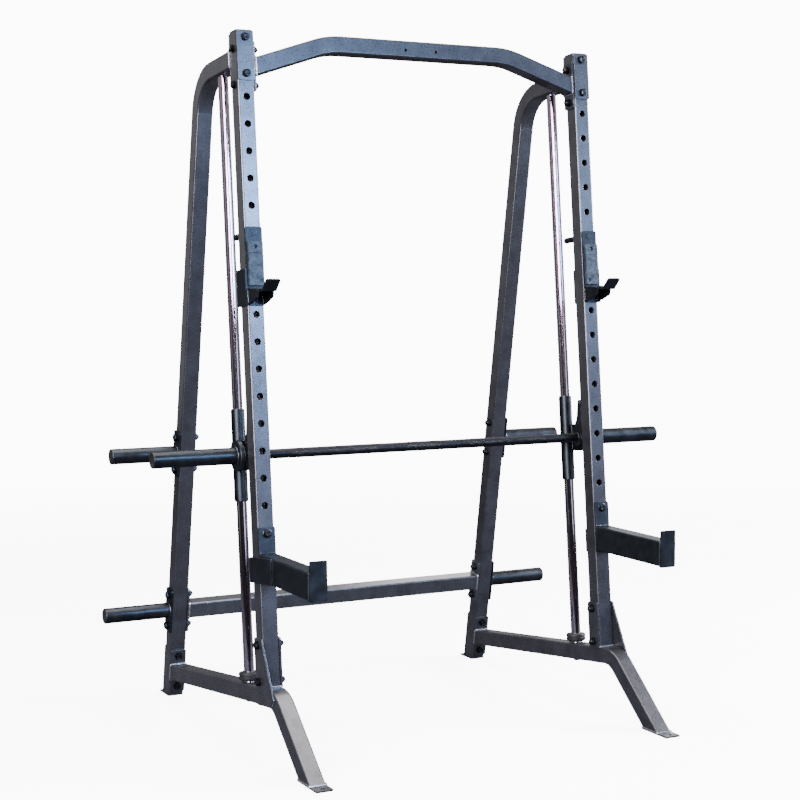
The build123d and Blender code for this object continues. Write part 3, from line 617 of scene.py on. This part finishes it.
for name, side in SIDES:
    x = side * HALF_MM
    outward = X_AXIS * side
    hook = Shape()
    for edge_x in (-25.4, -19.4, 19.4, 25.4):
        hook.bead([post(x + edge_x, -SKIN - 0.4, 1068), post(x + edge_x, -SKIN - 0.4, 1108)], 1.4, REAR, False)
    for cheek in (-24.8, 24.8):
        hook.bead([post(x + cheek, -SKIN - 2, 1110.5), post(x + cheek, -98, 1103.8)], 1.3, X_AXIS, False)
    hook.bead(circle(post(x, -EDGE - 0.4, J_PIN), X_AXIS, UP, 9.3), 1.2, REAR)
    hook.build(f"{name}_hook_welds", f"{name}_j_hook", PAINTED_HIGHLIGHT_BLACK_WELD, "black_paint")

    arm = Shape()
    side_x = x + side * 25.8
    arm_z = (498.5 * MM, 573.5 * MM)
    arm.bead([post(side_x, -34, 362.4), post(side_x, -119, 362.4)], 1.6, outward, False)
    tip_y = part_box(f"{name}_spotter_arm")[0].y + 6.4 * MM
    centre = Vector((x * MM, tip_y, sum(arm_z) / 2))
    arm.bead(rounded_loop(centre, X_AXIS, Vector((0, 0, 1)), 51, 75, TUBE_CORNER, 0.4), 2.2, Vector((0, 1, 0)))
    arm.bead([
        Vector(((x - 24) * MM, post(0, -SKIN, 378).y - 0.0004, arm_z[1] + 0.0006)),
        Vector(((x + 24) * MM, post(0, -SKIN, 378).y - 0.0004, arm_z[1] + 0.0006)),
    ], 2.2, REAR, False)
    arm.build(f"{name}_arm_welds", f"{name}_spotter_arm", PAINTED_HIGHLIGHT_BLACK_WELD, "black_paint")

    # the slide housing's web is welded along the tube
    slide = Shape()
    web = side * (HALF_MM + 8 - 0.2), side * (HALF_MM + 22 + 0.2)
    for web_x in web:
        away = abs(web_x) - HALF_MM
        depth = ROD_D - math.sqrt(max(0, 20.2 ** 2 - away ** 2)) if away < 20 else ROD_D
        ends = [post(web_x, depth - 0.4, SLIDE_S - WEB_HALF), post(web_x, depth - 0.4, SLIDE_S + WEB_HALF)]
        slide.bead(ends, 1.6, outward, False)
    slide.build(f"{name}_slide_welds", "carriage", PAINTED_HIGHLIGHT_BLACK_WELD, "black_paint")

    # wiper rings at both ends of the slide housing
    wipers = Shape()
    for end, way in ((SLIDE_S - SLIDE_HALF, -1), (SLIDE_S + SLIDE_HALF, 1)):
        wipers.turned(post(x, ROD_D, end), UP * way, [
            (15.4, -1.5), (19.0, -1.5), (19.0, 0.4), (18.4, 1.6), (16.2, 2.2), (15.3, 1.8), (15.3, -1.5),
        ], ends=(False, False))
    wipers.build(f"{name}_slide_wipers", "carriage", CAP, "cap_plastic")

# ---------------------------------------------------------------- knurling on the bar
KNURL_PITCH = 1.5
KNURLS = ((-430, -150), (-60, 60), (150, 430))
COUNT = 58
for index, (start, end) in enumerate(KNURLS):
    grip = Shape()
    rings = []
    rows = round((end - start) / (KNURL_PITCH / 2))
    for i in range(rows + 1):
        at = start + (end - start) * i / rows
        fade = min(1.0, min(i, rows - i) / 6)
        ring = []
        for j in range(COUNT):
            angle = math.tau * j / COUNT
            lift = 0.26 if (i + j) % 2 == 0 else 0.02
            r = BAR_R + lift * fade + 0.01
            ring.append(BAR + X_AXIS * (at * MM) + (REAR * math.cos(angle) + UP * math.sin(angle)) * (r * MM))
        rings.append(ring)
    grip.rings(rings, True, True)
    grip.build(f"knurl_{index}", "bar", BAR_STEEL, "bar_steel", smooth=False)

# ---------------------------------------------------------------- end caps and bumpers
caps = Shape()
sleeve_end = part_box("sleeve_caps")[1].x / MM
for side in (-1, 1):
    root = BAR + X_AXIS * (side * (sleeve_end - 3.5) * MM)
    caps.turned(root, X_AXIS * side, [
        (23.6, 0.0), (23.6, 1.0), (23.2, 2.2), (22.0, 3.1), (20.4, 3.5), (19.0, 3.3), (17.5, 2.4),
        (6.0, 2.2), (1.0, 2.2),
    ], steps=64)
caps.build("sleeve_end_caps", "bar", CAP, "cap_plastic", ["sleeve_caps"])

peg_caps = Shape()
peg_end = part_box("weight_peg_caps")[1].x / MM
for side in (-1, 1):
    for height in (LEG_LOW, LEG_HIGH):
        root = leg(side * (peg_end - 3.5), 0, height)
        peg_caps.turned(root, X_AXIS * side, [
            (20.9, -12.0), (20.9, 0.0), (24.0, 0.0), (24.0, 1.2), (23.4, 2.4), (22.2, 3.2), (20.5, 3.5),
            (12.0, 3.4), (1.0, 3.4),
        ], steps=64)
peg_caps.build("peg_end_caps", "frame", CAP, "cap_plastic", ["weight_peg_caps"])

for name, side in SIDES:
    x = side * HALF_MM
    bumper = Shape()
    bumper.turned(post(x, ROD_D, 0), UP, [
        (15.6, 26.0), (26.4, 26.0), (28.8, 25.2), (30.0, 23.0), (30.0, 16.5), (28.6, 15.4), (28.6, 14.4), (30.0, 13.3),
        (30.0, 6.4), (29.0, 4.2), (26.5, 3.2), (23.0, 3.0), (23.0, 0.2), (15.6, 0.2), (15.6, 26.0),
    ], steps=64, ends=(False, False))
    bumper.build(f"{name}_bumper_ring", "frame", RUBBER, "rubber", [f"{name}_lower_bumper"])

# ---------------------------------------------------------------- floor, lights, camera
def stage_material(name, tone):
    m, n, shader = new_material(name, specular=0.2)
    where = n.place()
    shade = n.ramp(n.noise(where, 0.6, 3), [(0.3, (tone, tone, tone)), (0.7, (tone * 1.02,) * 3)])
    n.link(shade, shader.inputs["Base Color"])
    shader.inputs["Roughness"].default_value = 0.75
    shader.inputs["Emission Color"].default_value = (1, 1, 1, 1)
    shader.inputs["Emission Strength"].default_value = 7.0
    return m, n, shader


FLOOR_R = 9.0
floor_mesh = bpy.data.meshes.new("floor")
work = bmesh.new()
bmesh.ops.create_circle(work, cap_ends=True, segments=96, radius=FLOOR_R)
work.to_mesh(floor_mesh)
work.free()
floor = bpy.data.objects.new("floor", floor_mesh)
bpy.context.scene.collection.objects.link(floor)
pale, n, shader = stage_material("pale_floor", 0.86)
dim = n.add("ShaderNodeBsdfDiffuse")
dim.inputs["Color"].default_value = (0.058, 0.058, 0.070, 1)
seen_floor = n.add("ShaderNodeMixShader")
n.link(n.add("ShaderNodeLightPath").outputs["Is Camera Ray"], seen_floor.inputs["Fac"])
n.link(dim.outputs["BSDF"], seen_floor.inputs[1])
n.link(shader.outputs["BSDF"], seen_floor.inputs[2])
clear = n.add("ShaderNodeBsdfTransparent")
fade = n.add("ShaderNodeMixShader")
length = n.add("ShaderNodeVectorMath", operation="LENGTH")
n.link(n.place(), length.inputs[0])
n.link(n.span(length.outputs["Value"], 0.0, 1.0, 2.6, 6.5), fade.inputs["Fac"])
n.link(seen_floor.outputs["Shader"], fade.inputs[1])
n.link(clear.outputs["BSDF"], fade.inputs[2])
n.link(fade.outputs["Shader"], n.tree.nodes["Material Output"].inputs["Surface"])
floor.data.materials.append(pale)

world = bpy.data.worlds.new("studio")
bpy.context.scene.world = world
world.use_nodes = True
tree = Nodes(world.node_tree)
seen = world.node_tree.nodes["Background"]
seen.inputs["Color"].default_value = (0.97, 0.98, 1.0, 1)
seen.inputs["Strength"].default_value = 12.0
light_only = tree.add("ShaderNodeBackground")
light_only.inputs["Strength"].default_value = 0.55
sky = tree.add("ShaderNodeTexCoord")
height = tree.add("ShaderNodeSeparateXYZ")
tree.link(sky.outputs["Generated"], height.inputs["Vector"])
tree.link(tree.ramp(height.outputs["Z"], [
    (0.0, (0.055, 0.050, 0.052)), (0.07, (0.10, 0.10, 0.105)), (0.17, (0.42, 0.43, 0.46)),
    (0.40, (0.70, 0.71, 0.75)), (1.0, (0.60, 0.61, 0.62)),
]), light_only.inputs["Color"])
path = tree.add("ShaderNodeLightPath")
choose = tree.add("ShaderNodeMixShader")
tree.link(path.outputs["Is Camera Ray"], choose.inputs["Fac"])
tree.link(light_only.outputs["Background"], choose.inputs[1])
tree.link(seen.outputs["Background"], choose.inputs[2])
tree.link(choose.outputs["Shader"], world.node_tree.nodes["World Output"].inputs["Surface"])


def flagged(name, state):
    """The guide rods alone, for a light that is flagged off them (EXCLUDE) or lights only them (INCLUDE)."""
    group = bpy.data.collections.new(name)
    for side, _ in SIDES:
        group.objects.link(frame["nodes"][f"{side}_guide_rod"])
    for item in group.collection_objects:
        item.light_linking.link_state = state
    return group


OFF_RODS, ON_RODS = flagged("off_rods", "EXCLUDE"), flagged("on_rods", "INCLUDE")


def softbox(name, place, target, size, watts, tint, group=None):
    light = bpy.data.lights.new(name, "AREA")
    light.shape = "RECTANGLE"
    light.size, light.size_y = size
    light.energy = watts
    light.color = tint
    obj = bpy.data.objects.new(name, light)
    bpy.context.scene.collection.objects.link(obj)
    obj.location = place
    obj.rotation_euler = (Vector(target) - Vector(place)).to_track_quat("-Z", "Y").to_euler()
    obj.visible_camera = False
    if group:
        obj.light_linking.receiver_collection = group


softbox("key", (1.30, -4.9, 2.6), (-0.5, 0, 1.4), (1.2, 0.9), 235, (0.34, 0.58, 1.0))
softbox("key_right", (3.9, -4.6, 2.6), (0.5, 0, 1.5), (1.6, 1.0), 52, (0.36, 0.60, 1.0))
softbox("key_low", (2.2, -5.2, 1.3), (-0.2, 0, 1.0), (3.0, 1.4), 30, (0.62, 0.70, 1.0))
softbox("edge_left", (-4.3, -3.6, 2.5), (0, 0, 1.4), (3.4, 2.8), 1100, (0.92, 0.93, 1.0), OFF_RODS)
softbox("edge_right", (5.0, -1.0, 2.6), (0, 0, 1.5), (1.6, 2.4), 1000, (0.94, 0.95, 1.0), OFF_RODS)
softbox("rod_front", (-2.0, -4.9, 3.1), (0, 0, 1.6), (4.8, 2.0), 620, (1.0, 0.68, 0.92), ON_RODS)
softbox("rod_right", (5.0, -0.6, 1.8), (0, 0, 1.2), (3.0, 3.2), 14, (0.95, 0.96, 1.0), ON_RODS)
softbox("rod_left", (-5.0, 0.6, 1.8), (0, 0, 1.2), (3.0, 3.2), 7, (0.86, 0.90, 1.0), ON_RODS)
softbox("back_left", (-2.7, 4.9, 1.7), (0.1, 0, 1.1), (3.4, 2.6), 11, (0.96, 0.96, 1.0))
softbox("overhead", (0.0, 0.2, 5.2), (0, 0, 0), (4.5, 4.5), 620, (1.0, 0.96, 0.91))
softbox("back_right", (3.4, 4.4, 3.0), (0, 0, 1.0), (2.0, 2.4), 60, (1.0, 0.99, 0.98))

camera = bpy.data.cameras.new("camera")
camera.lens = 75.57
camera.sensor_width = 36
view = bpy.data.objects.new("camera", camera)
bpy.context.scene.collection.objects.link(view)
view.location = (-2.3641, -4.5053, 1.3545)
view.rotation_euler = (math.radians(90 - 4.367), 0, math.radians(-27.458))
bpy.context.scene.camera = view
